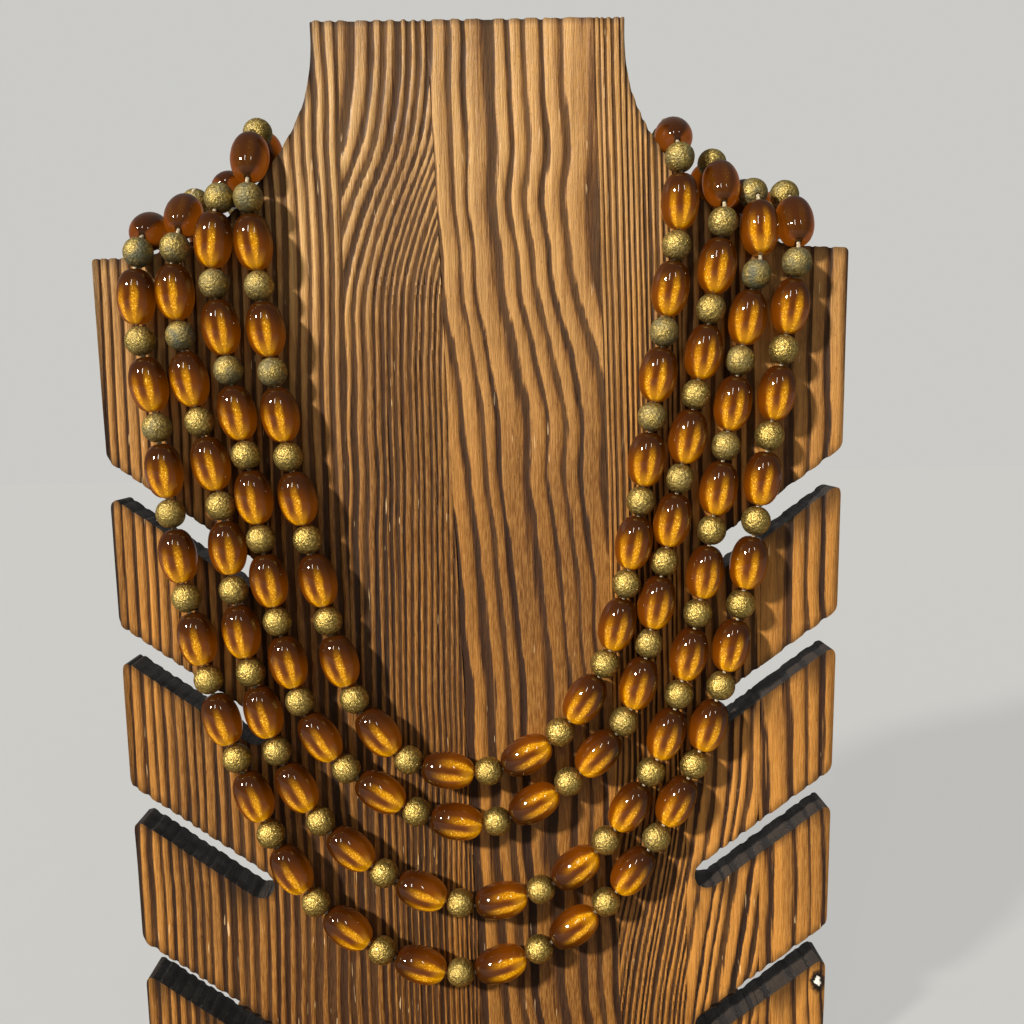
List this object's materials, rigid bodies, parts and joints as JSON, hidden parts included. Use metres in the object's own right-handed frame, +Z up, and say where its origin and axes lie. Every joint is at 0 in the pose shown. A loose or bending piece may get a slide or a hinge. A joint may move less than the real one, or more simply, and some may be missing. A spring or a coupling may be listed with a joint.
{
  "type": "beaded necklace on a neck bust display board",
  "caption": "Multi-strand necklace of translucent barrel beads and small textured metal beads, draped over a slotted wooden neck bust board that stands on a plain foot.",
  "frame": {"origin": "middle of the underside of the foot", "axes": "+Z up, the necklace and the board's front face towards -Y, board width along X"},
  "size_m": [0.2062, 0.09, 0.3033],
  "materials": {
    "board_wood": "brushed, scorched and varnished softwood, raised grain",
    "amber_bead": "glossy translucent amber with gold streaks inside",
    "brass_bead": "scratch textured antiqued brass, tarnished in places",
    "thread": "pale twisted thread",
    "clasp_metal": "dulled fine chain and rings"
  },
  "bodies": {
    "root": {"board": "board_wood", "clasp": "clasp_metal", "end_ring_left": "clasp_metal", "end_ring_right": "clasp_metal", "foot": "board_wood", "strand_A_back_left": "amber_bead", "strand_A_back_right": "amber_bead", "strand_A_bottom": "amber_bead", "strand_A_left": "amber_bead", "strand_A_over_left": "amber_bead", "strand_A_over_right": "amber_bead", "strand_A_right": "amber_bead", "strand_B_back_left": "amber_bead", "strand_B_back_right": "amber_bead", "strand_B_bottom": "amber_bead", "strand_B_left": "amber_bead", "strand_B_over_left": "amber_bead", "strand_B_over_right": "amber_bead", "strand_B_right": "amber_bead", "strand_C_back_left": "amber_bead", "strand_C_back_right": "amber_bead", "strand_C_bottom": "amber_bead", "strand_C_left": "amber_bead", "strand_C_over_left": "amber_bead", "strand_C_over_right": "amber_bead", "strand_C_right": "amber_bead", "strand_D_back_left": "amber_bead", "strand_D_back_right": "amber_bead", "strand_D_bottom": "amber_bead", "strand_D_left": "amber_bead", "strand_D_over_left": "amber_bead", "strand_D_over_right": "amber_bead", "strand_D_right": "amber_bead"}
  },
  "joints": []
}
